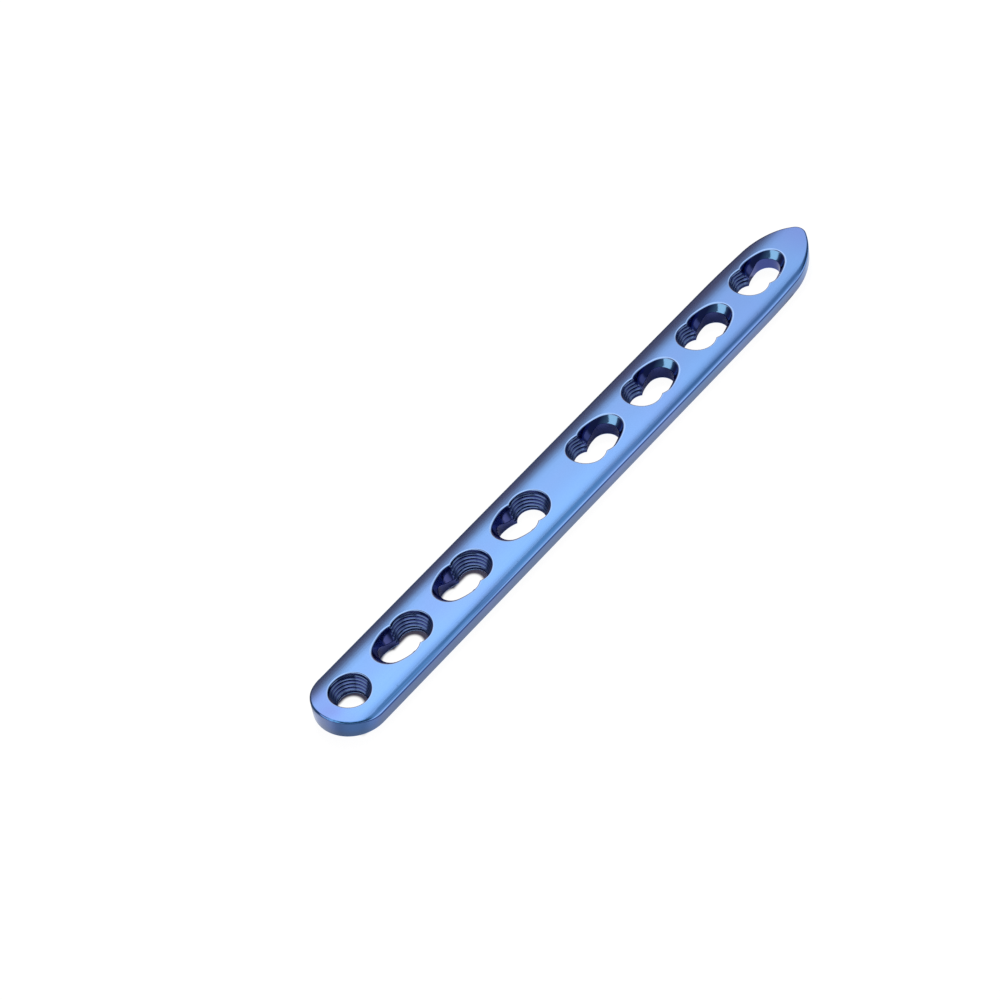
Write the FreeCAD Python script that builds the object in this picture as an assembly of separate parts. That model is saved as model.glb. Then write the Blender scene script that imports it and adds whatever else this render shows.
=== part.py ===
import FreeCAD, Part
import math
import os

# Straight locking compression plate for small fragments, one machined piece of titanium alloy.
# Millimetres. X runs along the plate from the round end to the pointed end, Y across it, Z up.
# The underside lies on Z = 0 and the origin is under the middle of the plate.

V = FreeCAD.Vector

# Body
PITCH = 13.0              # one hole to the next
HOLES = 8                 # a round hole, then seven combination holes
WIDTH = 11.0
THICK = 3.25              # at the centre line
CROWN_R = 18.5            # top face, across the plate
SHOULDER_R = 0.9          # rounding along both long edges
END_EDGE_R = 0.3          # what it narrows to at both ends
END_FADE = 32.0           # degrees of the round end over which it narrows
NOSE_FADE = 40.0          # degrees of slope at the pointed end where it has narrowed

# Plan outline of the pointed end, as three arcs that run into each other
TAPER_START = 85.6        # from the round hole
TAPER_R = 160.0
TAPER_SLOPE = 3.6         # degrees at the end of the taper
OGIVE_R = 11.25
OGIVE_SLOPE = 50.3        # degrees where the nose begins

# Underside of the pointed end
RUNNER_START = 95.5       # from the round hole
RUNNER_ANGLE = 9.0        # degrees
RUNNER_R = 30.0           # blend between the flat and the runner
UNDER_EDGE = 0.15         # rounding along the edge of the underside

# Locking thread seat: plain lead-in, tapered seat for the thread, short round throat
SEAT_R = 2.94
LEAD_IN = 0.4
THROAT_R = 2.05
THROAT = 0.4              # height of the throat

# Compression slot: path of a ball cutter that climbs away from the thread, and a slot below it
BALL_R = 3.1
BALL_IN = (2.7, 0.5)      # cutter centre near the thread: along X, above the top
BALL_OUT = (4.47, 1.63)   # cutter centre at the far end of the slot
SLOT_X = 4.1              # centre of the slot's round end, from the thread's centre
SLOT_R = 2.03
SLOT_REACH = 3.7          # the slot narrows towards the thread as half an ellipse of this length
RIM_BREAK = 0.1           # bevel along the rim of every hole
OUTER_FIRST = 3           # holes whose slot points to the round end; the rest point to the nose

HALF = WIDTH / 2.0
A1 = math.radians(TAPER_SLOPE)
A2 = math.radians(OGIVE_SLOPE)
TAPER_X = TAPER_START + TAPER_R * math.sin(A1)
TAPER_Y = HALF - TAPER_R * (1.0 - math.cos(A1))
NOSE_Y = TAPER_Y - OGIVE_R * (math.cos(A1) - math.cos(A2))
NOSE_X = TAPER_X + OGIVE_R * (math.sin(A2) - math.sin(A1))
NOSE_R = NOSE_Y / math.cos(A2)
TIP_X = NOSE_X + NOSE_R * (1.0 - math.sin(A2))
LENGTH = HALF + TIP_X
MID_X = (TIP_X - HALF) / 2.0
JOIN_X = 50.0


def arc(centre, radius, start, end):
    """Arc in the ground plane, angles in radians from +X."""
    points = []
    for share in (0.0, 0.5, 1.0):
        turn = start + (end - start) * share
        points.append(V(centre[0] + radius * math.cos(turn), centre[1] + radius * math.sin(turn), 0))
    return Part.Arc(*points).toShape()


def prism(edges, height):
    """Upright solid on a closed chain of edges in the ground plane."""
    first = edges[0].firstVertex().Point
    last = edges[-1].lastVertex().Point
    if first.distanceToPoint(last) > 1e-6:
        edges = edges + [Part.makeLine(last, first)]
    return Part.Face(Part.Wire(edges)).extrude(V(0, 0, height))


def under_crown(shape):
    crown = Part.makeCylinder(CROWN_R, 140, V(-20, 0, THICK - CROWN_R), V(1, 0, 0))
    return shape.common(crown)


def top_edge(shape, x, y):
    """The edge of the top face that passes over one point of the plan."""
    probe = Part.makeLine(V(x, y, THICK - 1.5), V(x, y, THICK + 1.0))
    near = [edge for edge in shape.Edges if edge.BoundBox.ZMin > THICK / 2]
    return min(near, key=lambda edge: edge.distToShape(probe)[0])


def round_quarter():
    fade = math.radians(END_FADE)
    quarter = math.pi / 2
    edges = [
        Part.makeLine(V(JOIN_X, HALF, 0), V(0, HALF, 0)),
        arc((0, 0), HALF, quarter, quarter + fade),
        arc((0, 0), HALF, quarter + fade, math.pi),
        Part.makeLine(V(-HALF, 0, 0), V(JOIN_X, 0, 0)),
    ]
    body = under_crown(prism(edges, THICK))
    turn = quarter + fade / 2
    edge = top_edge(body, HALF * math.cos(turn), HALF * math.sin(turn))
    return body.makeFillet(SHOULDER_R, END_EDGE_R, [edge])


def nose_quarter():
    quarter = math.pi / 2
    taper_c = (TAPER_START, HALF - TAPER_R)
    ogive_c = (TAPER_X - OGIVE_R * math.sin(A1), TAPER_Y - OGIVE_R * math.cos(A1))
    nose_c = (TIP_X - NOSE_R, 0)
    fade = math.radians(NOSE_FADE)
    edges = [
        Part.makeLine(V(JOIN_X, HALF, 0), V(TAPER_START, HALF, 0)),
        arc(taper_c, TAPER_R, quarter, quarter - A1),
        arc(ogive_c, OGIVE_R, quarter - A1, quarter - fade),
        arc(ogive_c, OGIVE_R, quarter - fade, quarter - A2),
        arc(nose_c, NOSE_R, quarter - A2, 0),
        Part.makeLine(V(TIP_X, 0, 0), V(JOIN_X, 0, 0)),
    ]
    body = under_crown(prism(edges, THICK))
    turn = quarter - (A1 + fade) / 2
    edge = top_edge(body, ogive_c[0] + OGIVE_R * math.cos(turn), ogive_c[1] + OGIVE_R * math.sin(turn))
    return body.makeFillet(SHOULDER_R, END_EDGE_R, [edge])


def runner():
    """What is cut away under the pointed end so that it slides over the bone."""
    rise = math.radians(RUNNER_ANGLE)
    start = RUNNER_START - RUNNER_R * math.tan(rise / 2)
    far = TIP_X + 2.0
    end_x = start + RUNNER_R * math.sin(rise)
    end_z = RUNNER_R * (1.0 - math.cos(rise))
    half = V(start + RUNNER_R * math.sin(rise / 2), 0, RUNNER_R * (1.0 - math.cos(rise / 2)))
    blend = Part.Arc(V(start, 0, 0), half, V(end_x, 0, end_z)).toShape()
    far_z = end_z + (far - end_x) * math.tan(rise)
    ramp = Part.makeLine(V(end_x, 0, end_z), V(far, 0, far_z))
    drop = Part.makeLine(V(far, 0, far_z), V(far, 0, -1))
    back = Part.makeLine(V(far, 0, -1), V(start, 0, -1))
    close = Part.makeLine(V(start, 0, -1), V(start, 0, 0))
    face = Part.Face(Part.Wire([blend, ramp, drop, back, close]))
    face.translate(V(0, -HALF - 1, 0))
    return face.extrude(V(0, WIDTH + 2, 0))


def mirrored(shape):
    return shape.mirror(V(0, 0, 0), V(0, 1, 0))


def under_edges(body):
    """Edges where the underside meets the side wall."""
    found = []
    for edge in body.Edges:
        point = edge.valueAt((edge.FirstParameter + edge.LastParameter) / 2)
        slopes = []
        for face in body.ancestorsOfType(edge, Part.Face):
            u, v = face.Surface.parameter(point)
            slopes.append(face.normalAt(u, v).z)
        if min(slopes) < -0.9 and max(slopes) > -0.3:
            found.append(edge)
    return found


def blank():
    """The plate before its holes are cut."""
    quarters = [round_quarter(), nose_quarter()]
    quarters += [mirrored(shape) for shape in quarters]
    body = quarters[0].multiFuse(quarters[1:]).removeSplitter()
    body = body.cut(runner())
    return body.makeFillet(UNDER_EDGE, under_edges(body))


def thread_seat():
    """Round tool for the locking part of a hole, centred on the origin."""
    top = THICK + 2.0
    taper_z = THICK - LEAD_IN
    outline = [
        V(0, 0, -1),
        V(THROAT_R, 0, -1),
        V(THROAT_R, 0, THROAT),
        V(SEAT_R, 0, taper_z),
        V(SEAT_R, 0, top),
        V(0, 0, top),
        V(0, 0, -1),
    ]
    return Part.Face(Part.makePolygon(outline)).revolve(V(0, 0, 0), V(0, 0, 1), 360)


def compression_slot():
    """Tool for the smooth part of a combination hole; the slot points to +X."""
    low = V(BALL_IN[0], 0, THICK + BALL_IN[1])
    high = V(BALL_OUT[0], 0, THICK + BALL_OUT[1])
    path = high - low
    tool = Part.makeCylinder(BALL_R, path.Length, low, path)
    tool = tool.fuse(Part.makeSphere(BALL_R, low)).fuse(Part.makeSphere(BALL_R, high))
    ellipse = Part.Ellipse(V(SLOT_X, 0, -1), SLOT_REACH, SLOT_R)
    narrow = Part.ArcOfEllipse(ellipse, math.pi / 2, 3 * math.pi / 2).toShape()
    wide = arc((SLOT_X, 0), SLOT_R, -math.pi / 2, math.pi / 2)
    wide.translate(V(0, 0, -1))
    slot = Part.Face(Part.Wire([narrow, wide])).extrude(V(0, 0, THICK + 1.0))
    return tool.fuse(slot)


def rims(body):
    """Edges of the holes in the crowned top face."""
    found = []
    for face in body.Faces:
        if isinstance(face.Surface, Part.Cylinder) and abs(face.Surface.Radius - CROWN_R) < 1e-6:
            for wire in face.Wires:
                if not wire.isSame(face.OuterWire):
                    found += wire.Edges
    return found


def drilled(body, tools):
    """Cuts the tools into the body and bevels the rims."""
    for tool in tools:
        body = body.cut(tool)
    return body.makeChamfer(RIM_BREAK, rims(body))


def plate():
    """Seats and slots are cut in two copies of the blank; what both copies share is the plate."""
    body = blank()
    seats = []
    slots = []
    for index in range(HOLES):
        place = V(PITCH * index, 0, 0)
        seat = thread_seat()
        seat.translate(place)
        seats.append(seat)
        if index > 0:
            slot = compression_slot()
            if index <= OUTER_FIRST:
                slot = slot.mirror(V(0, 0, 0), V(1, 0, 0))
            slot.translate(place)
            slots.append(slot)
    body = drilled(body, seats).common(drilled(body, slots))
    body.translate(V(-MID_X, 0, 0))
    return body


os.makedirs("parts", exist_ok=True)
shape = plate()
solid = shape.Solids[0]
print("solids", len(shape.Solids), "valid", solid.isValid(), "volume", round(solid.Volume, 2))
print("length", round(LENGTH, 3), "middle", round(MID_X, 3), "nose radius", round(NOSE_R, 3))
solid.exportStep("parts/bone_plate.step")
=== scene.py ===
import math

import bmesh
import bpy
import numpy as np
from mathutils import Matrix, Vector


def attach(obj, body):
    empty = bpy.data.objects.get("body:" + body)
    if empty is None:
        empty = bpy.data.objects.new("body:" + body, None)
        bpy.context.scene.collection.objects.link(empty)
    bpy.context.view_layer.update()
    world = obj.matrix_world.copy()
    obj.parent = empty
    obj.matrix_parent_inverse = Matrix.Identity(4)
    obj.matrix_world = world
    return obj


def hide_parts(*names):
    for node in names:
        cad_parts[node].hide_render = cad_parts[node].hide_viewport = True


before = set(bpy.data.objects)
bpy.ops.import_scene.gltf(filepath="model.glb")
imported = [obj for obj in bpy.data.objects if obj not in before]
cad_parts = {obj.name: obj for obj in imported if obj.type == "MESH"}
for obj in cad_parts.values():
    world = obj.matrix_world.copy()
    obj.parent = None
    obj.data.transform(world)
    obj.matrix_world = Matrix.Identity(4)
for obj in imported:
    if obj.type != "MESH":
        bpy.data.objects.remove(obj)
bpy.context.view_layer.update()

# Millimetres: X along the plate from the centre of the round hole, Y across, Z up from the underside

# Body
PITCH = 13.0               # one hole to the next
HOLES = 8                  # a round hole, then seven combination holes
OUTER_FIRST = 3            # combination holes whose slot points to the round end
HALF = 5.5                 # half the width
THICK = 3.25               # at the centre line
CROWN_R = 18.5             # top face, across the plate
SHOULDER_R = 0.9           # rounding along both long edges
END_EDGE_R = 0.3           # what it narrows to at both ends
END_FADE = 32.0            # degrees of the round end over which it narrows
NOSE_FADE = 40.0           # degrees of slope at the pointed end where it has narrowed
UNDER_EDGE = 0.15          # rounding along the edge of the underside

# Plan outline of the pointed end, as three arcs that run into each other
TAPER_START = 85.6
TAPER_R = 160.0
TAPER_SLOPE = 3.6          # degrees at the end of the taper
OGIVE_R = 11.25
OGIVE_SLOPE = 50.3         # degrees where the nose begins

# Relief under the pointed end
RUNNER_START = 95.5
RUNNER_ANGLE = 9.0         # degrees
RUNNER_R = 30.0            # blend between the flat and the relief

# Thread seat: plain lead-in, taper with the thread, short round throat
SEAT_R = 2.94
LEAD_IN = 0.4
THROAT_R = 2.05
THROAT = 0.4               # height of the throat
THREAD_PITCH = 0.5
THREAD_DEPTH = 0.27
THREAD_FORM = (0.0, 0.0, 0.33, 0.67, 1.0, 1.0, 0.67, 0.33)    # depth along one pitch
THREAD_RUNOUT = 0.12       # height over which the groove ends, above and below

# Compression slot: path of a ball cutter that climbs away from the thread, and a slot below it
BALL_R = 3.1
BALL_IN = (2.7, THICK + 0.5)
BALL_OUT = (4.47, THICK + 1.63)
BALL_TOP = THICK - 0.25    # height from which the bowl is followed down
SLOT_X = 4.1               # centre of the slot's round end
SLOT_R = 2.03
SLOT_REACH = 3.7           # the slot narrows towards the thread as half an ellipse of this length
SLOT_EDGE = 0.07           # softened edge between the bowl and the slot's wall
LIP_WEIGHT = 1.2           # how near its middle loop stays to the sharp edge
SLOT_LOW = 0.44            # lowest loop of the slot's wall inside the plate

# Edges of the holes in the upper and lower face
RIM_WIDE = 0.24            # how far the softened rim of a hole reaches over the crown
RIM_DEEP = 0.13            # and how far down the wall
RIM_MARGIN = 0.04          # flat strip round it
RIM_STRIP = 0.02           # strip of wall below it
LOW_ROUND = 0.1
LOW_MARGIN = 0.05
LOW_STRIP = 0.03

# Eased ridges inside the combination holes, on the far and on the near side
RIDGE_SOFT = 0.28          # how near the other wall a wall is drawn back
RIDGE_EASE = 0.14          # how far it is drawn back
NEAR_RIDGE_SOFT = 0.6
NEAR_RIDGE_EASE = 0.22

A1 = math.radians(TAPER_SLOPE)
A2 = math.radians(OGIVE_SLOPE)
TAPER_X = TAPER_START + TAPER_R * math.sin(A1)
TAPER_Y = HALF - TAPER_R * (1.0 - math.cos(A1))
NOSE_Y = TAPER_Y - OGIVE_R * (math.cos(A1) - math.cos(A2))
NOSE_X = TAPER_X + OGIVE_R * (math.sin(A2) - math.sin(A1))
NOSE_R = NOSE_Y / math.cos(A2)
TIP_X = NOSE_X + NOSE_R * (1.0 - math.sin(A2))
MID_X = (TIP_X - HALF) / 2.0

# Heights at which a hole's machined middle is joined to its upper and lower rim
JOIN_TOP = THICK - 0.43
JOIN_LOW = 0.46
JOIN_GAP = 0.03            # left between them, then filled
OVERLAP = 0.02             # the groove ends this far inside both heights
ABOVE = THICK + 0.2        # where the cutters end
BELOW = -0.5
EYE = 1.6                  # a point on the axis of every combination hole that sees all of its wall
SLOT_EYE = 3.4             # the same for its smooth part alone
FARTHEST = 8.0             # beyond every wall, seen from there
CUSP_BETWEEN = (40, 170)   # degrees between which the two parts of a hole meet
HALVINGS = 40              # of a stretch in which a place is searched
TINY = 1e-6
SAME_TURN = 1e-4           # radians
EXTRA_TURNS = 3            # of the groove, cut off above and below

# Steps along and across the loops of the mesh
SMOOTH_STEPS = 40
SEAT_STEPS = 32
HALF_STEPS = SMOOTH_STEPS + SEAT_STEPS
BORDER_STEPS = 12
SIDE_STEPS = HALF_STEPS - 2 * BORDER_STEPS
END_STEPS = HALF_STEPS - BORDER_STEPS
ROUND_STEPS = 42
TAPER_STEPS = 22
OGIVE_STEPS = 29
NOSE_STEPS = 9
THREAD_STEPS = 96
SLOT_STEPS = 144
BOWL_STEPS = 14
BOWL_CROWDING = 1.8        # crowds the bowl's loops towards its outer edge
RIM_STEPS = 7
LOW_STEPS = 3
SHOULDER_STEPS = 9
FOOT_STEPS = 4
EVEN_SAMPLES = 241
FACE_SHARES = (0.0, 0.03, 0.25, 0.5, 0.75, 1.0)
WALL_DROPS = (0.03, 0.3, 0.6)
FOOT_STRIP = 0.03
BORDERS = [4.42, 17.42, 30.42, 45.5, 60.58, 73.58, 86.58]    # between one hole's stretch and the next

MERGE = 0.0005             # distance within which vertices of one piece are made one
MERGE_ALL = 0.001          # and those of neighbouring pieces
SAME_HEIGHT = 1e-3
SMOOTH_ANGLE = 32          # degrees
METRES = 0.001


def crown(y):
    return THICK - CROWN_R + np.sqrt(CROWN_R ** 2 - y ** 2)


def under(x):
    """Height of the underside, which rises under the pointed end."""
    rise = math.radians(RUNNER_ANGLE)
    start = RUNNER_START - RUNNER_R * math.tan(rise / 2)
    end = start + RUNNER_R * math.sin(rise)
    bend = RUNNER_R - np.sqrt(RUNNER_R ** 2 - (np.clip(x, start, end) - start) ** 2)
    return bend + np.maximum(x - end, 0.0) * math.tan(rise)


def seat_radius(z):
    share = np.clip((z - THROAT) / (THICK - LEAD_IN - THROAT), 0.0, 1.0)
    return THROAT_R + (SEAT_R - THROAT_R) * share


def seat_gap(x, y, z):
    """Distance outside the round threaded part of a hole, negative inside it."""
    return np.hypot(x, y) - seat_radius(z)


def bowl_gap(x, y, z):
    """Distance outside the path of the ball cutter."""
    step = np.array([BALL_OUT[0] - BALL_IN[0], BALL_OUT[1] - BALL_IN[1]])
    share = ((x - BALL_IN[0]) * step[0] + (z - BALL_IN[1]) * step[1]) / step.dot(step)
    share = np.clip(share, 0.0, 1.0)
    return np.sqrt((x - BALL_IN[0] - share * step[0]) ** 2 + y ** 2
                   + (z - BALL_IN[1] - share * step[1]) ** 2) - BALL_R


def slot_gap(x, y, z):
    """Distance outside the slot's upright wall: a half round, and half an ellipse towards the thread."""
    round_end = np.hypot(x - SLOT_X, y) - SLOT_R
    part = np.hypot((x - SLOT_X) / SLOT_REACH, y / SLOT_R)
    slope = np.hypot((x - SLOT_X) / SLOT_REACH ** 2, y / SLOT_R ** 2) / np.maximum(part, TINY)
    return np.where(x > SLOT_X, round_end, (part - 1.0) / np.maximum(slope, TINY))


def smooth_gap(x, y, z):
    return np.minimum(bowl_gap(x, y, z), slot_gap(x, y, z))


def halved(low, high, beyond):
    """Narrows a stretch to the place where a test turns from false to true."""
    for _ in range(HALVINGS):
        mid = (low + high) / 2
        out = beyond(mid)
        high = np.where(out, mid, high)
        low = np.where(out, low, mid)
    return low, high


def around(eye, turns, far):
    """Points in given directions and at given distances from a point on a hole's axis."""
    return eye + far * np.cos(turns), far * np.sin(turns)


def reach(gap, turns, height, offset, eye):
    """How far from the eye the gap equals the offset, for each direction."""
    def beyond(far):
        x, y = around(eye, turns, far)
        return gap(x, y, height(x, y)) > offset

    low, high = halved(np.zeros_like(turns), np.full_like(turns, FARTHEST), beyond)
    return (low + high) / 2


def even(distance, start, end, count):
    """Directions that divide a stretch of outline into equal lengths."""
    turns = np.linspace(start, end, EVEN_SAMPLES)
    x, y = around(0.0, turns, distance(turns))
    run = np.concatenate([[0.0], np.cumsum(np.hypot(np.diff(x), np.diff(y)))])
    return np.interp(np.linspace(0.0, run[-1], count + 1), run, turns)


def whole(half_x, half_y, half_z):
    """Closed loop from its upper half, which runs from +X round to -X."""
    x = np.concatenate([half_x, half_x[-2:0:-1]])
    y = np.concatenate([half_y, -half_y[-2:0:-1]])
    z = np.concatenate([half_z, half_z[-2:0:-1]])
    return np.column_stack([x, y, z])


def combination_ring(height, offset):
    """One level of a combination hole: the smooth part's arc, a cusp, and the thread's arc."""
    def seat(turns):
        return reach(seat_gap, turns, height, offset, EYE)

    def smooth(turns):
        return reach(smooth_gap, turns, height, offset, EYE)

    start, end = (np.array([math.radians(turn)]) for turn in CUSP_BETWEEN)
    low, high = halved(start, end, lambda turn: seat(turn) > smooth(turn))
    cusp = ((low + high) / 2)[0]
    first = even(smooth, 0.0, cusp, SMOOTH_STEPS)
    last = even(seat, cusp, math.pi, SEAT_STEPS)[1:]
    far = np.concatenate([smooth(first), seat(last)])
    x, y = around(EYE, np.concatenate([first, last]), far)
    return whole(x, y, height(x, y))


def round_ring(height, offset):
    turns = np.linspace(0.0, math.pi, HALF_STEPS + 1)
    x, y = around(0.0, turns, reach(seat_gap, turns, height, offset, 0.0))
    return whole(x, y, height(x, y))


# Stations of the plate's outline, from the round end along the +Y side to the point

def edge_radius(share):
    """The rounding along the upper edge: 0 on the long sides, 1 where it has narrowed."""
    return SHOULDER_R + (END_EDGE_R - SHOULDER_R) * min(share, 1.0)


def arc_station(centre, radius, turn, edge):
    way = (math.sin(turn), math.cos(turn))
    return (centre[0] + radius * way[0], centre[1] + radius * way[1], *way, edge)


def outline():
    """Place, outward direction and edge rounding of every station of the upper half."""
    rows = []
    quarter = math.pi / 2
    for turn in np.linspace(math.pi, quarter, ROUND_STEPS + 1)[:-1]:
        edge = edge_radius((turn - quarter) / math.radians(END_FADE))
        rows.append((HALF * math.cos(turn), HALF * math.sin(turn), math.cos(turn), math.sin(turn), edge))
    stops = list(np.linspace(0.0, BORDERS[0], END_STEPS - ROUND_STEPS + 1))
    for left, right in zip(BORDERS, BORDERS[1:]):
        stops += list(np.linspace(left, right, SIDE_STEPS + 1))[1:]
    stops += list(np.linspace(BORDERS[-1], TAPER_X, TAPER_STEPS + 1))[1:-1]
    for x in stops:
        turn = math.asin(max(x - TAPER_START, 0.0) / TAPER_R)
        y = HALF - TAPER_R * (1.0 - math.cos(turn))
        rows.append((x, y, math.sin(turn), math.cos(turn), SHOULDER_R))
    centre = (TAPER_X - OGIVE_R * math.sin(A1), TAPER_Y - OGIVE_R * math.cos(A1))
    for turn in np.linspace(A1, A2, OGIVE_STEPS + 1):
        edge = edge_radius((turn - A1) / (math.radians(NOSE_FADE) - A1))
        rows.append(arc_station(centre, OGIVE_R, turn, edge))
    for turn in np.linspace(A2, quarter, NOSE_STEPS + 1)[1:]:
        rows.append(arc_station((TIP_X - NOSE_R, 0.0), NOSE_R, turn, END_EDGE_R))
    return np.array(rows)


STATIONS = outline()
FULL = np.concatenate([STATIONS, STATIONS[-2:0:-1] * np.array([1, -1, 1, -1, 1])])


def edge_arc(rows, share):
    """The rounding between the crown and the side wall: 0 on the crown, 1 on the wall."""
    x, y, nx, ny, radius = rows.T
    cx = x - radius * nx
    cy = y - radius * ny
    rest = CROWN_R - radius
    cz = THICK - CROWN_R + np.sqrt(rest ** 2 - cy ** 2)
    up = np.column_stack([np.zeros_like(cy), cy / rest, np.sqrt(1 - (cy / rest) ** 2)])
    side = np.column_stack([nx, ny, np.zeros_like(nx)])
    angle = np.arccos(np.sum(up * side, axis=1))[:, None]
    way = (np.sin((1 - share) * angle) * up + np.sin(share * angle) * side) / np.sin(angle)
    return np.column_stack([cx, cy, cz]) + radius[:, None] * way


def foot_arc(rows, share):
    """The small rounding round the underside: 0 on the wall, 1 underneath."""
    x, y, nx, ny, _ = rows.T
    turn = share * math.pi / 2
    low = under(x - UNDER_EDGE * nx)
    back = UNDER_EDGE * (1 - math.cos(turn))
    return np.column_stack([x - back * nx, y - back * ny, low + UNDER_EDGE * (1 - math.sin(turn))])


TOP_LINE = edge_arc(STATIONS, 0.0)
LOW_LINE = foot_arc(STATIONS, 1.0)


def cell_half(index, line):
    """Upper half of the outline of one hole's stretch of plate, from +X round to -X."""
    first = 0 if index == 0 else END_STEPS + (index - 1) * SIDE_STEPS
    last = len(line) - 1 if index == HOLES - 1 else END_STEPS + index * SIDE_STEPS
    edge = line[first:last + 1][::-1, :2]
    parts = [edge]
    if index < HOLES - 1:
        y = np.linspace(0.0, edge[0, 1], BORDER_STEPS + 1)[:-1]
        parts.insert(0, np.column_stack([np.full_like(y, BORDERS[index]), y]))
    if index > 0:
        y = np.linspace(edge[-1, 1], 0.0, BORDER_STEPS + 1)[1:]
        parts.append(np.column_stack([np.full_like(y, BORDERS[index - 1]), y]))
    return np.concatenate(parts)


# Working by hand in edit mode

def deselect():
    bpy.ops.object.select_all(action='DESELECT')


def activate(piece):
    deselect()
    piece.select_set(True)
    bpy.context.view_layer.objects.active = piece


def mesh_of(piece):
    return bmesh.from_edit_mesh(piece.data)


def start_loop(name, points):
    """A closed loop of vertices, left open and in edit mode."""
    deselect()
    bpy.ops.mesh.primitive_circle_add(vertices=len(points), radius=1.0)
    piece = bpy.context.active_object
    piece.name = name
    bpy.ops.object.mode_set(mode='EDIT')
    mesh = mesh_of(piece)
    station = mesh.verts.layers.int.new("station")
    mesh.verts.ensure_lookup_table()
    for number, vertex in enumerate(mesh.verts):
        vertex[station] = number
        vertex.co = points[number]
    bmesh.update_edit_mesh(piece.data)
    return piece


def pull(piece, points):
    """Extrudes the open loop and sets it down on its new line."""
    bpy.ops.mesh.extrude_edges_move()
    mesh = mesh_of(piece)
    station = mesh.verts.layers.int["station"]
    for vertex in mesh.verts:
        if vertex.select:
            vertex.co = points[vertex[station]]
    bmesh.update_edit_mesh(piece.data)


def done():
    bpy.ops.object.mode_set(mode='OBJECT')


def swept(name, loops):
    piece = start_loop(name, loops[0])
    for points in loops[1:]:
        pull(piece, points)
    done()
    return piece


def close_ends(piece):
    """Caps the two open ends of a tube and turns its faces outwards."""
    activate(piece)
    bpy.ops.object.mode_set(mode='EDIT')
    bpy.ops.mesh.select_all(action='SELECT')
    bpy.ops.mesh.remove_doubles(threshold=MERGE)
    bpy.ops.mesh.select_all(action='DESELECT')
    bpy.ops.mesh.select_mode(type='EDGE')
    bpy.ops.mesh.select_non_manifold()
    bpy.ops.mesh.edge_face_add()
    bpy.ops.mesh.select_all(action='SELECT')
    bpy.ops.mesh.normals_make_consistent(inside=False)
    done()


def combine(pieces):
    activate(pieces[0])
    for piece in pieces[1:]:
        piece.select_set(True)
    bpy.ops.object.join()
    return bpy.context.active_object


# The rim of one hole with the crowned face around it, and the same below

def blend_loops(outer, inner, shares, height):
    loops = []
    for share in shares:
        plan = outer[:, :2] + (inner[:, :2] - outer[:, :2]) * share
        loops.append(np.column_stack([plan, height(plan[:, 0], plan[:, 1])]))
    return loops


def slot_side(index):
    """-1 for a hole whose slot points to the round end, 1 for every other."""
    return -1.0 if 0 < index <= OUTER_FIRST else 1.0


def hole_ring(index, height, offset):
    """One level of a hole in plate coordinates, starting at its +X side."""
    centre = PITCH * index
    side = slot_side(index)

    def local(x, y):
        return height(centre + side * x, y)

    points = (combination_ring if index else round_ring)(local, offset)
    if side < 0:
        points = np.roll(points * np.array([-1, -1, 1]), HALF_STEPS, axis=0)
    points[:, 0] += centre
    return points


def level(z):
    return lambda x, y: np.zeros_like(x) + z


def below_crown(depth):
    return lambda x, y: crown(y) - depth


def above_under(rise):
    return lambda x, y: under(x) + rise


def face_loops(index, line, inwards, wide, deep, steps, margin, strip, join):
    """Loops of one hole's stretch of a face, from its outline over the rim and down to the join."""
    half = cell_half(index, line)
    face = inwards(0)
    outer = whole(half[:, 0], half[:, 1], face(half[:, 0], half[:, 1]))
    rim = hole_ring(index, face, wide + margin)
    loops = blend_loops(outer, rim, FACE_SHARES, face)
    for step in range(steps + 1):
        turn = math.pi / 2 * step / steps
        depth = deep * (1 - math.cos(turn))
        loops.append(hole_ring(index, inwards(depth), wide * (1 - math.sin(turn))))
    loops.append(hole_ring(index, inwards(deep + strip), 0.0))
    loops.append(hole_ring(index, level(join), 0.0))
    return loops


def upper_loops(index):
    return face_loops(index, TOP_LINE, below_crown, RIM_WIDE, RIM_DEEP, RIM_STEPS,
                      RIM_MARGIN, RIM_STRIP, JOIN_TOP + JOIN_GAP)


def lower_loops(index):
    return face_loops(index, LOW_LINE, above_under, LOW_ROUND, LOW_ROUND, LOW_STEPS,
                      LOW_MARGIN, LOW_STRIP, JOIN_LOW - JOIN_GAP)


# The machined middle of a hole, made as the shape that is cut away

def ring(eye, turns, far, z):
    x, y = around(eye, turns, far)
    return np.column_stack([x, y, np.zeros_like(x) + z])


def full_turn(count):
    return np.arange(count) * 2 * math.pi / count


def tube(name, rows):
    """Round piece from pairs of radius and height."""
    turns = full_turn(THREAD_STEPS)
    return swept(name, [ring(0.0, turns, radius, z) for radius, z in rows])


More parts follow.
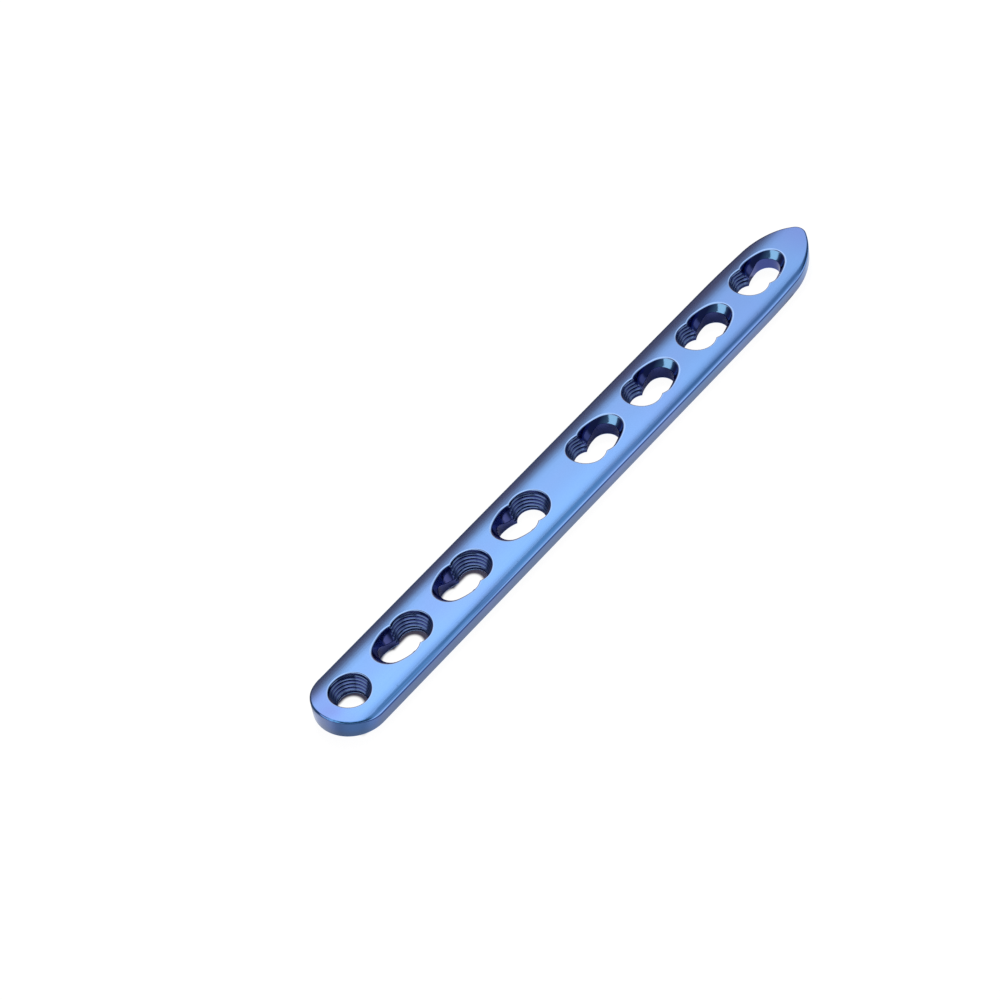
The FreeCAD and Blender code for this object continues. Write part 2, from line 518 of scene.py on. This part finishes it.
def thread_cutter():
    """Tapered seat with its helical groove."""
    rows = len(THREAD_FORM)
    high = JOIN_TOP - OVERLAP
    low = JOIN_LOW + OVERLAP
    mesh = bpy.data.meshes.new("thread")
    points = [(1.0, 0.0, THREAD_PITCH * row / rows) for row in range(rows + 1)]
    mesh.from_pydata(points, [(row, row + 1) for row in range(rows)], [])
    thread = bpy.data.objects.new("thread", mesh)
    bpy.context.scene.collection.objects.link(thread)
    activate(thread)
    bpy.ops.object.modifier_add(type='SCREW')
    screw = thread.modifiers[-1]
    screw.angle = 2 * math.pi
    screw.screw_offset = THREAD_PITCH
    screw.iterations = int((high - low) / THREAD_PITCH) + EXTRA_TURNS
    screw.steps = THREAD_STEPS
    screw.render_steps = THREAD_STEPS
    screw.use_merge_vertices = True
    bpy.ops.object.modifier_apply(modifier=screw.name)
    for vertex in thread.data.vertices:
        x, y, rise = vertex.co
        turn = math.atan2(y, x) % (2 * math.pi)
        if turn > 2 * math.pi - SAME_TURN:
            turn = 0.0
        row = round((rise / THREAD_PITCH - turn / (2 * math.pi)) * rows) % rows
        z = min(max(low + rise - THREAD_PITCH, low), high)
        share = min(min(high - z, z - low) / THREAD_RUNOUT, 1.0)
        radius = min(float(seat_radius(z)) + THREAD_DEPTH * THREAD_FORM[row] * share, SEAT_R)
        vertex.co = (radius * math.cos(turn), radius * math.sin(turn), z)
    upper = tube("seat_top", [(seat_radius(high), high), (SEAT_R, THICK - LEAD_IN), (SEAT_R, ABOVE)])
    lower = tube("seat_throat", [(seat_radius(low), low), (THROAT_R, THROAT), (THROAT_R, BELOW)])
    cutter = combine([thread, upper, lower])
    cutter.name = "thread_cutter"
    close_ends(cutter)
    return cutter


def slot_cutter():
    """The smooth bowl and, below a softened edge, the slot's upright wall."""
    turns = full_turn(SLOT_STEPS)
    outer = reach(bowl_gap, turns, level(BALL_TOP), 0.0, SLOT_EYE)
    inner = reach(slot_gap, turns, level(0.0), 0.0, SLOT_EYE)

    def bowl_floor(far):
        x, y = around(SLOT_EYE, turns, far)
        low = np.full_like(far, -1.0)
        high = np.full_like(far, BALL_TOP)
        return np.column_stack([x, y, halved(low, high, lambda z: bowl_gap(x, y, z) < 0)[1]])

    loops = [ring(SLOT_EYE, turns, outer, ABOVE)]
    for share in np.linspace(0.0, 1.0, BOWL_STEPS + 1):
        loops.append(bowl_floor(outer + (inner + SLOT_EDGE - outer) * share ** BOWL_CROWDING))
    lip = bowl_floor(inner)
    wall = ring(SLOT_EYE, turns, inner, lip[:, 2] - SLOT_EDGE)
    loops.append((loops[-1] + wall + LIP_WEIGHT * lip) / (2 + LIP_WEIGHT))
    loops += [wall, wall - np.array([0, 0, LOW_STRIP])]
    loops += [ring(SLOT_EYE, turns, inner, z) for z in (SLOT_LOW, BELOW)]
    cutter = swept("slot_cutter", loops)
    close_ends(cutter)
    return cutter


def machined_middle(cutters):
    """Unites the cutters and keeps the wall between the two joining heights."""
    cutter = cutters[0]
    activate(cutter)
    for other in cutters[1:]:
        bpy.ops.object.modifier_add(type='BOOLEAN')
        union = cutter.modifiers[-1]
        union.operation = 'UNION'
        union.solver = 'EXACT'
        union.object = other
        bpy.ops.object.modifier_apply(modifier=union.name)
        bpy.data.objects.remove(other)
    bpy.ops.object.mode_set(mode='EDIT')
    for height, keep in ((JOIN_TOP, 1), (JOIN_LOW, -1)):
        bpy.ops.mesh.select_all(action='SELECT')
        bpy.ops.mesh.bisect(plane_co=(0, 0, height), plane_no=(0, 0, keep), clear_outer=True)
    bpy.ops.mesh.select_all(action='SELECT')
    bpy.ops.mesh.remove_doubles(threshold=MERGE)
    bpy.ops.mesh.select_all(action='SELECT')
    bpy.ops.mesh.flip_normals()
    done()
    return cutter


def copy_of(piece, name):
    activate(piece)
    bpy.ops.object.duplicate()
    copy = bpy.context.active_object
    copy.name = name
    return copy


def stitch(piece, here_z, there_z, eye):
    """Fills the thin gap between two open loops that lie on the same wall, one at each height."""
    activate(piece)
    bpy.ops.object.mode_set(mode='EDIT')
    mesh = mesh_of(piece)
    open_verts = {vertex for edge in mesh.edges if edge.is_boundary for vertex in edge.verts}

    def turn(vertex):
        return math.atan2(vertex.co.y, vertex.co.x - eye)

    def open_loop(z):
        return sorted([vertex for vertex in open_verts if abs(vertex.co.z - z) < SAME_HEIGHT], key=turn)

    def next_turn(loop, place):
        """Direction of the next vertex; past the last one, beyond half a turn."""
        if place + 1 < len(loop):
            return turn(loop[place + 1])
        return math.pi + (place + 1 - len(loop))

    here = open_loop(here_z)
    there = open_loop(there_z)
    one = other = 0
    while one < len(here) or other < len(there):
        first = here[one % len(here)]
        second = there[other % len(there)]
        here_next = next_turn(here, one) <= next_turn(there, other)
        if other >= len(there) or (one < len(here) and here_next):
            one += 1
            third = here[one % len(here)]
        else:
            other += 1
            third = there[other % len(there)]
        mesh.faces.new((first, second, third))
    bmesh.update_edit_mesh(piece.data)
    done()


def hole(index, middle):
    """One hole with its own stretch of the upper and lower face."""
    side = slot_side(index)
    upper = swept("upper", upper_loops(index))
    lower = swept("lower", lower_loops(index))
    inside = copy_of(middle, "inside")
    bpy.ops.object.mode_set(mode='EDIT')
    bpy.ops.mesh.select_all(action='SELECT')
    if side < 0:
        bpy.ops.transform.rotate(value=math.pi, orient_axis='Z', center_override=(0, 0, 0))
    bpy.ops.transform.translate(value=(PITCH * index, 0, 0))
    done()
    piece = combine([upper, lower, inside])
    piece.name = "hole_%d" % (index + 1)
    eye = PITCH * index + side * (EYE if index else 0.0)
    stitch(piece, JOIN_TOP + JOIN_GAP, JOIN_TOP, eye)
    stitch(piece, JOIN_LOW - JOIN_GAP, JOIN_LOW, eye)
    return piece


def side_wall():
    """The rounded shoulder, the upright side and the small rounding below."""
    loops = [edge_arc(FULL, step / SHOULDER_STEPS) for step in range(SHOULDER_STEPS + 1)]
    top = loops[-1]
    loops += [top - np.array([0, 0, drop]) for drop in WALL_DROPS]
    loops.append(foot_arc(FULL, 0.0) + np.array([0, 0, FOOT_STRIP]))
    loops += [foot_arc(FULL, step / FOOT_STEPS) for step in range(FOOT_STEPS + 1)]
    return swept("side_wall", loops)


def plate_mesh():
    round_middle = machined_middle([thread_cutter()])
    combination_middle = machined_middle([thread_cutter(), slot_cutter()])
    pieces = [side_wall()]
    for index in range(HOLES):
        pieces.append(hole(index, combination_middle if index else round_middle))
    bpy.data.objects.remove(round_middle)
    bpy.data.objects.remove(combination_middle)
    plate = combine(pieces)
    plate.name = "plate"
    plate.data.name = "plate"
    bpy.ops.object.mode_set(mode='EDIT')
    bpy.ops.mesh.select_all(action='SELECT')
    bpy.ops.mesh.remove_doubles(threshold=MERGE_ALL)
    bpy.ops.mesh.select_all(action='SELECT')
    bpy.ops.mesh.quads_convert_to_tris()
    bpy.ops.mesh.normals_make_consistent(inside=False)
    bpy.ops.transform.translate(value=(-MID_X, 0, 0))
    bpy.ops.transform.resize(value=(METRES, METRES, METRES), center_override=(0, 0, 0))
    done()
    bpy.ops.object.shade_smooth_by_angle(angle=math.radians(SMOOTH_ANGLE))
    return plate


# Painted shade and highlights in the holes, and their eased ridges, on the whole mesh; the distances are
# millimetres again

NEAR_WALL = 0.02           # what still counts as the groove's ground
ON_BOWL = 0.03             # what still counts as the bowl
INSIDE_THREAD = -0.1
OFF_THREAD = 0.05
SHEEN = ((2.6, 1.6), (-2.0, 0.9), (-0.9, 0.8))    # where the painted sheen in a bowl begins and its width
# the painted sheen in the bowls at the round end
OUTER_SHEEN = (1.8, 1.5)
HOLE_SHADE_DEPTH = (0.05, 0.08)      # depth below the crown at which the painted shade of a hole begins, and its width
RIM_HIGHLIGHT_FADE = 0.08            # width over which the painted highlight round the rim ends
RIM_HEIGHT = THICK - 0.9
ABOVE_UNDER = 0.12
RIDGE_TOP = (0.15, 0.3)    # the ridges are eased from here downwards
RIDGE_LOW = (ABOVE_UNDER, 0.3)
HOLE_CENTRE = 2.0
HOLE_SIZE = 6.5
NUDGE = 0.01               # for the slope of a wall
LEAST_SLOPE = 0.3


def ramp(value, start, width):
    """0 up to the start, 1 beyond the width, even between them."""
    return np.clip((value - start) / width, 0, 1)


def vertex_places(piece):
    places = np.empty(len(piece.data.vertices) * 3)
    piece.data.vertices.foreach_get("co", places)
    return places.reshape(-1, 3)


def millimetres(places):
    x, y, z = places.T * 1000
    return x + MID_X, y, z


def paint(piece, name, shares):
    layer = piece.data.attributes.new(name, 'FLOAT', 'POINT')
    layer.data.foreach_set("value", shares.astype(np.float32))


def mark_zones(piece):
    """Names the zones of the holes for the material: painted shade inside them, painted highlight at the
    rim and on the thread's crests, and painted sheen in the bowl.
    """
    x, y, z = millimetres(vertex_places(piece))
    gap = np.full(len(x), np.inf)
    crest = np.zeros(len(x))
    bowl = np.zeros(len(x))
    threaded = (z > JOIN_LOW) & (z < JOIN_TOP)
    for index in range(HOLES):
        side = slot_side(index)
        along = side * (x - PITCH * index)
        seat = seat_gap(along, y, z)
        on_thread = threaded & (seat < THREAD_DEPTH + NEAR_WALL) & (seat > INSIDE_THREAD)
        crest = np.maximum(crest, np.where(on_thread, 1 - np.clip(seat / THREAD_DEPTH, 0, 1), 0))
        gap = np.minimum(gap, seat)
        if index == 0:
            continue
        gap = np.minimum(gap, smooth_gap(along, y, z))
        on_bowl = (np.abs(bowl_gap(along, y, z)) < ON_BOWL) & (seat > OFF_THREAD)
        if side < 0:
            share = ramp(along, *OUTER_SHEEN)
        else:
            share = ramp(along, *SHEEN[0]) * ramp(-y, *SHEEN[1]) * ramp(y, *SHEEN[2])
        bowl = np.maximum(bowl, np.where(on_bowl, share, 0))
    near = (gap < THREAD_DEPTH + NEAR_WALL) & (z > under(x) + ABOVE_UNDER)
    # painted shade inside each hole, from just below the crown
    hollow = np.where(near, ramp(crown(y) - z, *HOLE_SHADE_DEPTH), 0)
    # painted highlight round the rim of each hole
    rim = np.where(near & (z > RIM_HEIGHT), ramp(-gap, -(RIM_WIDE + NEAR_WALL), RIM_HIGHLIGHT_FADE), 0)
    paint(piece, "hollow", hollow)
    paint(piece, "rim", rim)
    paint(piece, "crest", crest * hollow)
    paint(piece, "bowl", bowl * hollow)


def soften_ridges(piece):
    """Draws back the sharp ridges where the threaded part of a hole meets its smooth part."""
    places = vertex_places(piece)
    x, y, z = millimetres(places)
    near_side = y < 0
    soft = np.where(near_side, NEAR_RIDGE_SOFT, RIDGE_SOFT)
    ease = np.where(near_side, NEAR_RIDGE_EASE, RIDGE_EASE)
    fade = ramp(crown(y) - z, *RIDGE_TOP) * ramp(z - under(x), *RIDGE_LOW)
    for index in range(1, HOLES):
        side = slot_side(index)
        along = side * (x - PITCH * index)
        seat = seat_gap(along, y, z)
        smooth = smooth_gap(along, y, z)
        other = np.maximum(np.where(np.abs(smooth) < ON_BOWL, seat, smooth), 0)
        share = np.clip(1 - other / soft, 0, 1) * (np.minimum(seat, smooth) < THREAD_DEPTH + NEAR_WALL)
        share = share * fade * (np.hypot(along - HOLE_CENTRE, y) < HOLE_SIZE)
        across = np.maximum(np.hypot(along, y), TINY)
        way_x = along / across + (smooth_gap(along + NUDGE, y, z) - smooth) / NUDGE
        way_y = y / across + (smooth_gap(along, y + NUDGE, z) - smooth) / NUDGE
        size = np.maximum(np.hypot(way_x, way_y), LEAST_SLOPE)
        amount = ease * share
        places[:, 0] += side * amount * way_x / size / 1000
        places[:, 1] += amount * way_y / size / 1000
    piece.data.vertices.foreach_set("co", places.ravel())
    piece.data.update()


plate = plate_mesh()
mark_zones(plate)
soften_ridges(plate)


# Shader maths written as expressions

class Value:
    """A socket in a node tree; sums, differences and products of it add Math nodes."""

    def __init__(self, nodes, socket):
        self.nodes = nodes
        self.socket = socket

    def math(self, operation, first, second):
        return self.nodes.add("ShaderNodeMath", {"operation": operation}, {0: first, 1: second})

    def __add__(self, other):
        return self.math('ADD', self, other)

    def __radd__(self, other):
        return self.math('ADD', other, self)

    def __sub__(self, other):
        return self.math('SUBTRACT', self, other)

    def __rsub__(self, other):
        return self.math('SUBTRACT', other, self)

    def __mul__(self, other):
        return self.math('MULTIPLY', self, other)

    def __rmul__(self, other):
        return self.math('MULTIPLY', other, self)

    def size(self):
        return self.nodes.add("ShaderNodeMath", {"operation": 'ABSOLUTE'}, {0: self})

    def step(self, low, high):
        """0 below low, 1 above high, smooth between them."""
        return self.nodes.add("ShaderNodeMapRange", {"interpolation_type": 'SMOOTHSTEP'},
                              {"Value": self, "From Min": low, "From Max": high})

    def between(self, start, end):
        """1 between two ranges over which it sets in and ends."""
        return self.step(*start) * (1 - self.step(*end))


class Nodes:
    """The node tree of a material or of the world."""

    def __init__(self, owner):
        owner.use_nodes = True
        self.tree = owner.node_tree

    def add(self, kind, settings=None, inputs=None, output=0):
        node = self.tree.nodes.new(kind)
        for name, value in (settings or {}).items():
            if name == "stops":
                bands = node.color_ramp.elements
                while len(bands) < len(value):
                    bands.new(0.5)
                for element, (place, colour) in zip(bands, value):
                    element.position = place
                    element.color = (*colour, 1.0)
            else:
                setattr(node, name, value)
        self.set(node, inputs or {})
        return Value(self, node.outputs[output])

    def set(self, node, inputs):
        """Links a node's inputs to values, or gives them plain numbers and colours."""
        for name, value in inputs.items():
            if isinstance(value, Value):
                self.tree.links.new(value.socket, node.inputs[name])
            else:
                node.inputs[name].default_value = value

    def split(self, vector):
        return [self.add("ShaderNodeSeparateXYZ", {}, {0: vector}, part) for part in range(3)]

    def place(self, kind):
        """A texture coordinate: Object, Normal or Generated."""
        return self.add("ShaderNodeTexCoord", output=kind)

    def ray(self, kind):
        """What the Light Path node says of the ray."""
        return self.add("ShaderNodeLightPath", output=kind)

    def zone(self, name):
        """A share that the mesh carries as an attribute."""
        return self.add("ShaderNodeAttribute", {"attribute_name": name}, output="Fac")

    def least(self, first, second):
        return self.add("ShaderNodeMath", {"operation": 'MINIMUM'}, {0: first, 1: second})

    def length(self, along, across):
        flat = self.add("ShaderNodeCombineXYZ", {}, {0: along, 1: across})
        return self.add("ShaderNodeVectorMath", {"operation": 'LENGTH'}, {0: flat}, "Value")

    def mix(self, share, first, second):
        return self.add("ShaderNodeMix", {"data_type": 'RGBA'}, {0: share, 6: first, 7: second}, 2)

    def layers(self, colour, layers):
        """A colour with further ones laid over it, each with its share."""
        for share, over in layers:
            colour = self.mix(share, colour, over)
        return colour


def weighted(parts, weights):
    return parts[0] * weights[0] + parts[1] * weights[1] + parts[2] * weights[2]


# The anodised metal. Its film is sky blue on the flats, deeper on the rounded edges and grey blue
# on the sides, set by the angle to the camera's direction. It is partly the film's own change of colour
# with angle, and partly painted light and shade of that one view. Places are metres from the middle
# of the plate, at the height of the underside.

LEAN = (0.466, 0.495, 0.734)         # the camera's direction: the film's colour, and the painted shade with it, change with the angle to it
FILM_AND_FACING_SHADE = (
    (0.46, (0.135, 0.20, 0.36)),
    (0.52, (0.12, 0.19, 0.38)),
    (0.60, (0.10, 0.20, 0.47)),
    (0.68, (0.13, 0.31, 0.72)),
    (0.73, (0.27, 0.48, 0.96)),
    (0.82, (0.25, 0.49, 0.97)),
    (0.87, (0.14, 0.38, 0.88)),
    (1.00, (0.10, 0.42, 0.72)),
)
CLOUD_SCALE = 90.0
CLOUD_TINT = (0.34, 0.36, 0.86, 1)   # violet haze
END_TINT = (0.24, 0.28, 0.78, 1)     # more of it towards both ends
EDGE_SHADE = (0.05, 0.11, 0.29, 1)    # painted shade on the rounded edges that face along the camera's direction, towards the nose
POLISH_SCALE = (60.0, 2600.0, 2600.0)
GRAIN_AND_REFLECTION_LINES = (0.07, 0.20, 0.48, 1)   # darker streaks along the rounded edges: polish grain, and painted reflection lines there
NOSE_TINT = (0.12, 0.16, 0.52, 1)    # the whole plate towards the nose
ROUND_WALL_SHADE = (0.07, 0.10, 0.28, 1)   # painted shade on the side wall towards the round end
# painted shade near the floor: the side wall greyer towards its foot
WALL_FOOT_SHADE = (0.15, 0.19, 0.25, 1)
NOSE_WALL = (0.08, 0.24, 0.50, 1)    # upper side wall towards the nose
WALL_REFLECTION_LINE = (0.02, 0.05, 0.20, 1)    # painted dark reflection line at the top of the side wall
OUTER_BOWL_SHEEN = (0.13, 0.15, 0.44, 1)   # painted sheen in the bowls at the round end
INNER_BOWL_SHEEN = (0.26, 0.53, 0.86, 1)   # and in the others
# painted shade: the dark navy inside the holes
HOLE_WALL_SHADE = (0.058, 0.080, 0.27, 1)
# painted highlight on the thread's crests
THREAD_CREST_HIGHLIGHT = (0.155, 0.245, 0.46, 1)
# painted highlight round the rims of the holes
RIM_HIGHLIGHT = (0.42, 0.62, 1.0, 1)

# Ranges over which a tint sets in or ends: of the noise, of the normal's Z, of X and of Z
CLOUD = (0.45, 0.75)
END_CLOUD = (0.46, 0.60)
DRAWN = (0.46, 0.60)
EDGE_SHADE_LEAN = (0.84, 0.90)
CREST = (0.35, 0.95)
FLAT = (0.5, 0.9)
SHOULDER = ((0.25, 0.45), (0.90, 0.97))
UPRIGHT = (0.05, 0.3)
STEEP = (0.1, 0.5)
LINE = ((0.0, 0.04), (0.20, 0.36))
BOTH_ENDS_X = (0.047, 0.056)
TIP_ONLY_X = (0.0480, 0.0545)
EDGE_SHADE_X = (-0.010, 0.035)
NOSE_X_RANGE = (-0.005, 0.045)
ROUND_WALL_X = (-0.040, 0.000)
NOSE_WALL_X = (0.005, 0.035)
INNER_BOWL_X = (-0.008, -0.002)
FOOT_SHADE_TOP = (0.0002, 0.0017)
NOSE_WALL_Z = (0.0007, 0.0019)


def anodised_titanium():
    metal = bpy.data.materials.new("anodised_titanium")
    nodes = Nodes(metal)
    place = nodes.place("Object")
    x, _, z = nodes.split(place)
    facing = nodes.split(nodes.place("Normal"))
    nz = facing[2]
    lean = weighted([part.size() for part in facing], LEAN)
    # film colour, with the painted light and shade of the camera's view in it
    film_and_shade = nodes.add("ShaderNodeValToRGB", {"stops": FILM_AND_FACING_SHADE}, {0: lean})
    cloud = nodes.add("ShaderNodeTexNoise", {}, {"Vector": place, "Scale": CLOUD_SCALE, "Detail": 2.0})
    stretched = nodes.add("ShaderNodeMapping", {}, {"Vector": place, "Scale": POLISH_SCALE})
    polish = nodes.add("ShaderNodeTexNoise", {}, {"Vector": stretched, "Scale": 1.0, "Detail": 3.0})
    ends = x.size().step(*BOTH_ENDS_X) * (0.08 + cloud.step(*END_CLOUD) * 0.55)
    ends = ends + x.step(*TIP_ONLY_X) * 0.35
    upright = 1 - nz.size().step(*UPRIGHT)
    colour = nodes.layers(film_and_shade, (
        (cloud.step(*CLOUD) * 0.16, CLOUD_TINT),
        (ends * nz.step(*FLAT), END_TINT),
        # painted shade on the rounded edges towards the nose
        (lean.step(*EDGE_SHADE_LEAN) * x.step(*EDGE_SHADE_X) * 0.5, EDGE_SHADE),
        # streaks on the rounded edges: polish grain and painted reflection lines
        (polish.step(*DRAWN) * nz.between(*SHOULDER) * 0.65, GRAIN_AND_REFLECTION_LINES),
        (x.step(*NOSE_X_RANGE) * 0.14, NOSE_TINT),
        # painted shade on the side wall towards the round end
        (upright * (1 - x.step(*ROUND_WALL_X)) * 0.3, ROUND_WALL_SHADE),
        # painted shade near the floor: the side wall greyer towards its foot
        (upright * (1 - z.step(*FOOT_SHADE_TOP)) * 0.45, WALL_FOOT_SHADE),
        (upright * x.step(*NOSE_WALL_X) * z.step(*NOSE_WALL_Z) * 0.5, NOSE_WALL),
        # painted dark reflection line at the top of the side wall
        (nz.between(*LINE) * 0.95, WALL_REFLECTION_LINE),
        # painted highlight round the rims of the holes
        (nodes.zone("rim") * 0.8, RIM_HIGHLIGHT),
    ))
    # painted sheen in the bowls, darker in those at the round end
    bowl = nodes.mix(x.step(*INNER_BOWL_X), OUTER_BOWL_SHEEN, INNER_BOWL_SHEEN)
    wall = nodes.layers(HOLE_WALL_SHADE, (
        (nodes.zone("bowl"), bowl),
        # painted highlight on the thread's crests
        (nodes.zone("crest").step(*CREST), THREAD_CREST_HIGHLIGHT),
    ))
    # painted shade inside the holes, with its painted sheen and highlights, laid over the film
    colour = nodes.mix(nodes.zone("hollow"), colour, wall)
    roughness = 0.10 + polish * 0.08 + (1 - nz.size().step(*STEEP)) * 0.06
    bump = nodes.add("ShaderNodeBump", {}, {"Height": polish, "Strength": 0.03, "Distance": 0.0001})
    shader = nodes.tree.nodes["Principled BSDF"]
    nodes.set(shader, {"Base Color": colour, "Metallic": 1.0, "Roughness": roughness, "Normal": bump})
    return metal


plate.data.materials.clear()
plate.data.materials.append(anodised_titanium())

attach(plate, "root")
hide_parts("bone_plate")


# Floor and studio. In the photograph the ground is pure white, and what the metal mirrors of it
# and of the room is not; so both depend on the kind of the ray.

WHITE = (1, 1, 1, 1)
BLACK = (0, 0, 0, 1)
FLOOR_SIZE = 4.0
FLOOR_Z = -0.00002
BENEATH_X = (0.0515, 0.0530)         # the plate's own shade on the floor, in metres
BENEATH_Y = (0.0042, 0.0050)
SHADED_UP_TO = (-0.019, -0.018)      # it shows up to the third hole
ROUND_HOLE_X = (-0.046, -0.044)
COVERED_X = (0.0450, 0.0456)         # as far as the underside touches the floor
COVERED_R = (5.40, 5.62)             # the same round the round end, in millimetres
CLOSE_BY = (0.0001, 0.0002)          # rays this short come from the underside itself
HOLE_FROM, HOLE_TO = -9.0, 4.0       # one pitch of millimetres, round each hole
SPOT_FROM, SPOT_TO = -2.6, -0.2      # the spot of light below a throat lies between these
SPOT_R = 1.42
ROUND_SPOT_MORE = 0.22
SLOT_SPOT_X = 3.9
SLOT_SPOT_R = 1.95
SPOT_BLUR = 0.28
GROUND = (0.9, 0.87, 0.86, 1)
GROUND_IN_SHADE = (0.20, 0.175, 0.25, 1)
CORNER_X = (-0.0530, -0.0500)        # beyond the near side of the round end it is mirrored darker
CORNER_Y = (-0.0025, 0.0005)
FAR_SIDE_Y = (0.0030, 0.0060)        # and along the far side darker still
GLOW = 1.1
GLOW_SHARE = 0.85


def floor_material():
    """White ground, in shade round the first three holes and mirrored as dark beneath the plate."""
    white = bpy.data.materials.new("floor")
    nodes = Nodes(white)
    straight = nodes.ray("Is Camera Ray")
    mirrored = nodes.ray("Is Glossy Ray") + nodes.ray("Is Transmission Ray")
    fx, fy, _ = nodes.split(nodes.place("Object"))
    x = fx * 1000 + MID_X
    y = fy * 1000
    beneath = (1 - fx.size().step(*BENEATH_X)) * (1 - fy.size().step(*BENEATH_Y))
    along = nodes.add("ShaderNodeMath", {"operation": 'WRAP'}, {0: x, 1: HOLE_TO, 2: HOLE_FROM})
    nearest = nodes.add("ShaderNodeClamp", {}, {0: along, 1: SPOT_FROM, 2: SPOT_TO})
    spot = nodes.length(along - nearest, y) - SPOT_R
    spot = spot - (1 - fx.step(*ROUND_HOLE_X)) * ROUND_SPOT_MORE
    slot_spot = nodes.length(along + SLOT_SPOT_X, y) - SLOT_SPOT_R
    unlit = nodes.least(spot, slot_spot).step(-SPOT_BLUR, SPOT_BLUR)
    shaded = beneath * (1 - fx.step(*SHADED_UP_TO)) * unlit
    round_end = nodes.length(nodes.least(x, 0.0), y)
    covered = (1 - fx.step(*COVERED_X)) * (1 - round_end.step(*COVERED_R))
    covered = covered * nodes.ray("Ray Length").step(*CLOSE_BY)
    bright = straight * (1 - shaded) + mirrored * (1 - covered)
    corner = (1 - fx.step(*CORNER_X)) * (1 - fy.step(*CORNER_Y))
    dimmed = (1 - fy.step(*FAR_SIDE_Y) * 0.9) * (1 - corner * 0.5)
    tone = nodes.mix(straight + (1 - straight) * dimmed, BLACK, WHITE)
    shader = nodes.tree.nodes["Principled BSDF"]
    nodes.set(shader, {"Base Color": nodes.mix(shaded, GROUND, GROUND_IN_SHADE), "Roughness": 0.9})
    glow = nodes.add("ShaderNodeEmission", {}, {"Color": tone, "Strength": GLOW})
    plain = Value(nodes, shader.outputs[0])
    upper = nodes.add("ShaderNodeMixShader", {}, {0: bright * GLOW_SHARE, 1: plain, 2: glow})
    from_below = nodes.add("ShaderNodeNewGeometry", output="Backfacing")
    clear = nodes.add("ShaderNodeBsdfTransparent")
    surface = nodes.add("ShaderNodeMixShader", {}, {0: from_below, 1: upper, 2: clear})
    nodes.set(nodes.tree.nodes["Material Output"], {"Surface": surface})
    return white


deselect()
bpy.ops.mesh.primitive_plane_add(size=FLOOR_SIZE, location=(0, 0, FLOOR_Z))
floor = bpy.context.active_object
floor.name = "floor"
floor.data.materials.append(floor_material())

WINDOW_LEFT = (-0.383, 0.893, -0.233)     # the two edges of the tall window, as planes
WINDOW_RIGHT = (0.395, 0.749, -0.532)
WINDOW_EDGE = (-0.04, 0.04)
WINDOW_END = (-0.4, -0.3)                 # ranges of the ray's direction over which a light sets in
BOX_X, BOX_Y, BOX_Z = (0.0, 0.25), (0.02, 0.10), (0.43, 0.62)
SIDE_X, SIDE_Y = ((0.0, 0.3), (0.60, 0.80)), (-0.02, 0.08)
TOP_Z = (0.90, 0.95)
FAR_X, FAR_Y = (-0.3, 0.2), (-0.1, 0.3)
FALL_X, RISE_Z = (0.42, 0.55), (0.78, 0.88)    # the box is dimmer to the right and brighter on high
DARK_ROOM = (0.10, 0.12, 0.16, 1)
FAR_ROOM = (0.24, 0.13, 0.13, 1)


def studio():
    """What the metal mirrors, by the direction of the ray: a dark room with four lights."""
    world = bpy.data.worlds.new("studio")
    nodes = Nodes(world)
    way = nodes.split(nodes.place("Generated"))
    dx, dy, dz = way
    box = dz.step(*BOX_Z) * dy.step(*BOX_Y) * dx.step(*BOX_X)
    left = weighted(way, WINDOW_LEFT).step(*WINDOW_EDGE)
    right = weighted(way, WINDOW_RIGHT).step(*WINDOW_EDGE)
    window = left * (1 - right) * (1 - dx.step(*WINDOW_END))
    side = (1 - dy.step(*SIDE_Y)) * dx.between(*SIDE_X)
    far = dy.step(*FAR_Y) * dx.step(*FAR_X)
    fall = 1.06 - dx.step(*FALL_X) * 0.16 + dz.step(*RISE_Z) * 0.12
    shine = nodes.add("ShaderNodeCombineColor", {}, {0: fall, 1: fall, 2: fall})
    light = nodes.layers(DARK_ROOM, (
        (far, FAR_ROOM),
        ((0.66 - dz.size() * 0.20) * side, WHITE),
        (window * 0.9, WHITE),
        (box, shine),
        (dz.step(*TOP_Z), WHITE),
        (nodes.ray("Is Camera Ray"), WHITE),
    ))
    nodes.set(nodes.tree.nodes["Background"], {"Color": light})
    return world


# Soft key light, and the camera that was fitted to the rims of all eight holes
KEY_PLACE = (0.42, 0.45, 0.75)
KEY_SIZE = 0.25
KEY_POWER = 3.4
CAMERA_PLACE = (-0.2422973, -0.2407179, 0.3663921)
CAMERA_TURN = (42.29778, 7.32644, -51.27049)
CAMERA_LENS = 127.97
CAMERA_SENSOR = 36.0

bpy.context.scene.world = studio()

key_data = bpy.data.lights.new("key", 'AREA')
key_data.size = KEY_SIZE
key_data.energy = KEY_POWER
key = bpy.data.objects.new("key", key_data)
bpy.context.scene.collection.objects.link(key)
key.location = KEY_PLACE
key.rotation_euler = Vector(key.location).to_track_quat('Z', 'Y').to_euler()
key.visible_glossy = False

camera_data = bpy.data.cameras.new("camera")
camera_data.sensor_width = CAMERA_SENSOR
camera_data.lens = CAMERA_LENS
camera_data.clip_start = 0.01
camera = bpy.data.objects.new("camera", camera_data)
bpy.context.scene.collection.objects.link(camera)
camera.location = CAMERA_PLACE
camera.rotation_euler = [math.radians(turn) for turn in CAMERA_TURN]
bpy.context.scene.camera = camera
bpy.context.scene.view_settings.view_transform = 'Standard'
